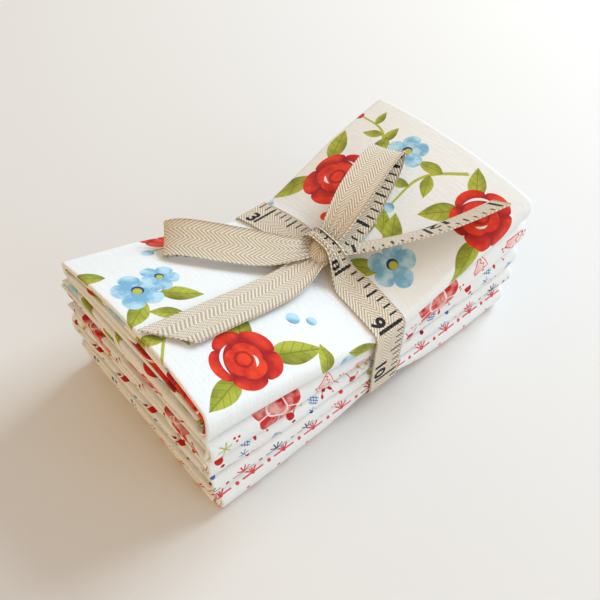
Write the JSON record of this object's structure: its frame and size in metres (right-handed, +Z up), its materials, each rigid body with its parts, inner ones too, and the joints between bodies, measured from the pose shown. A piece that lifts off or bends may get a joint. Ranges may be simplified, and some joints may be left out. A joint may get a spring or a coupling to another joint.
{
  "type": "fat quarter bundle",
  "caption": "Stack of folded printed quilting cotton fat quarters, tied round the middle with a twill tape in a bow.",
  "frame": {"origin": "on the surface that the stack rests on, under the centre of its outline", "axes": "+X along the long folded side, +Y to the back, away from the full-height front folds, +Z up, with the bow on top"},
  "size_m": [0.1444, 0.0796, 0.062],
  "materials": {
    "fat_quarter_5": "matt printed quilting cotton",
    "fat_quarter_4": "matt printed quilting cotton",
    "fat_quarter_3": "matt printed quilting cotton",
    "fat_quarter_2": "matt printed quilting cotton",
    "fat_quarter_1": "matt printed quilting cotton",
    "tape": "matt unbleached cotton twill tape"
  },
  "bodies": {
    "root": {"fat_quarter_5": "fat_quarter_5", "fat_quarter_4": "fat_quarter_4", "fat_quarter_3": "fat_quarter_3", "fat_quarter_2": "fat_quarter_2", "fat_quarter_1": "fat_quarter_1", "tape": "tape"}
  },
  "joints": []
}
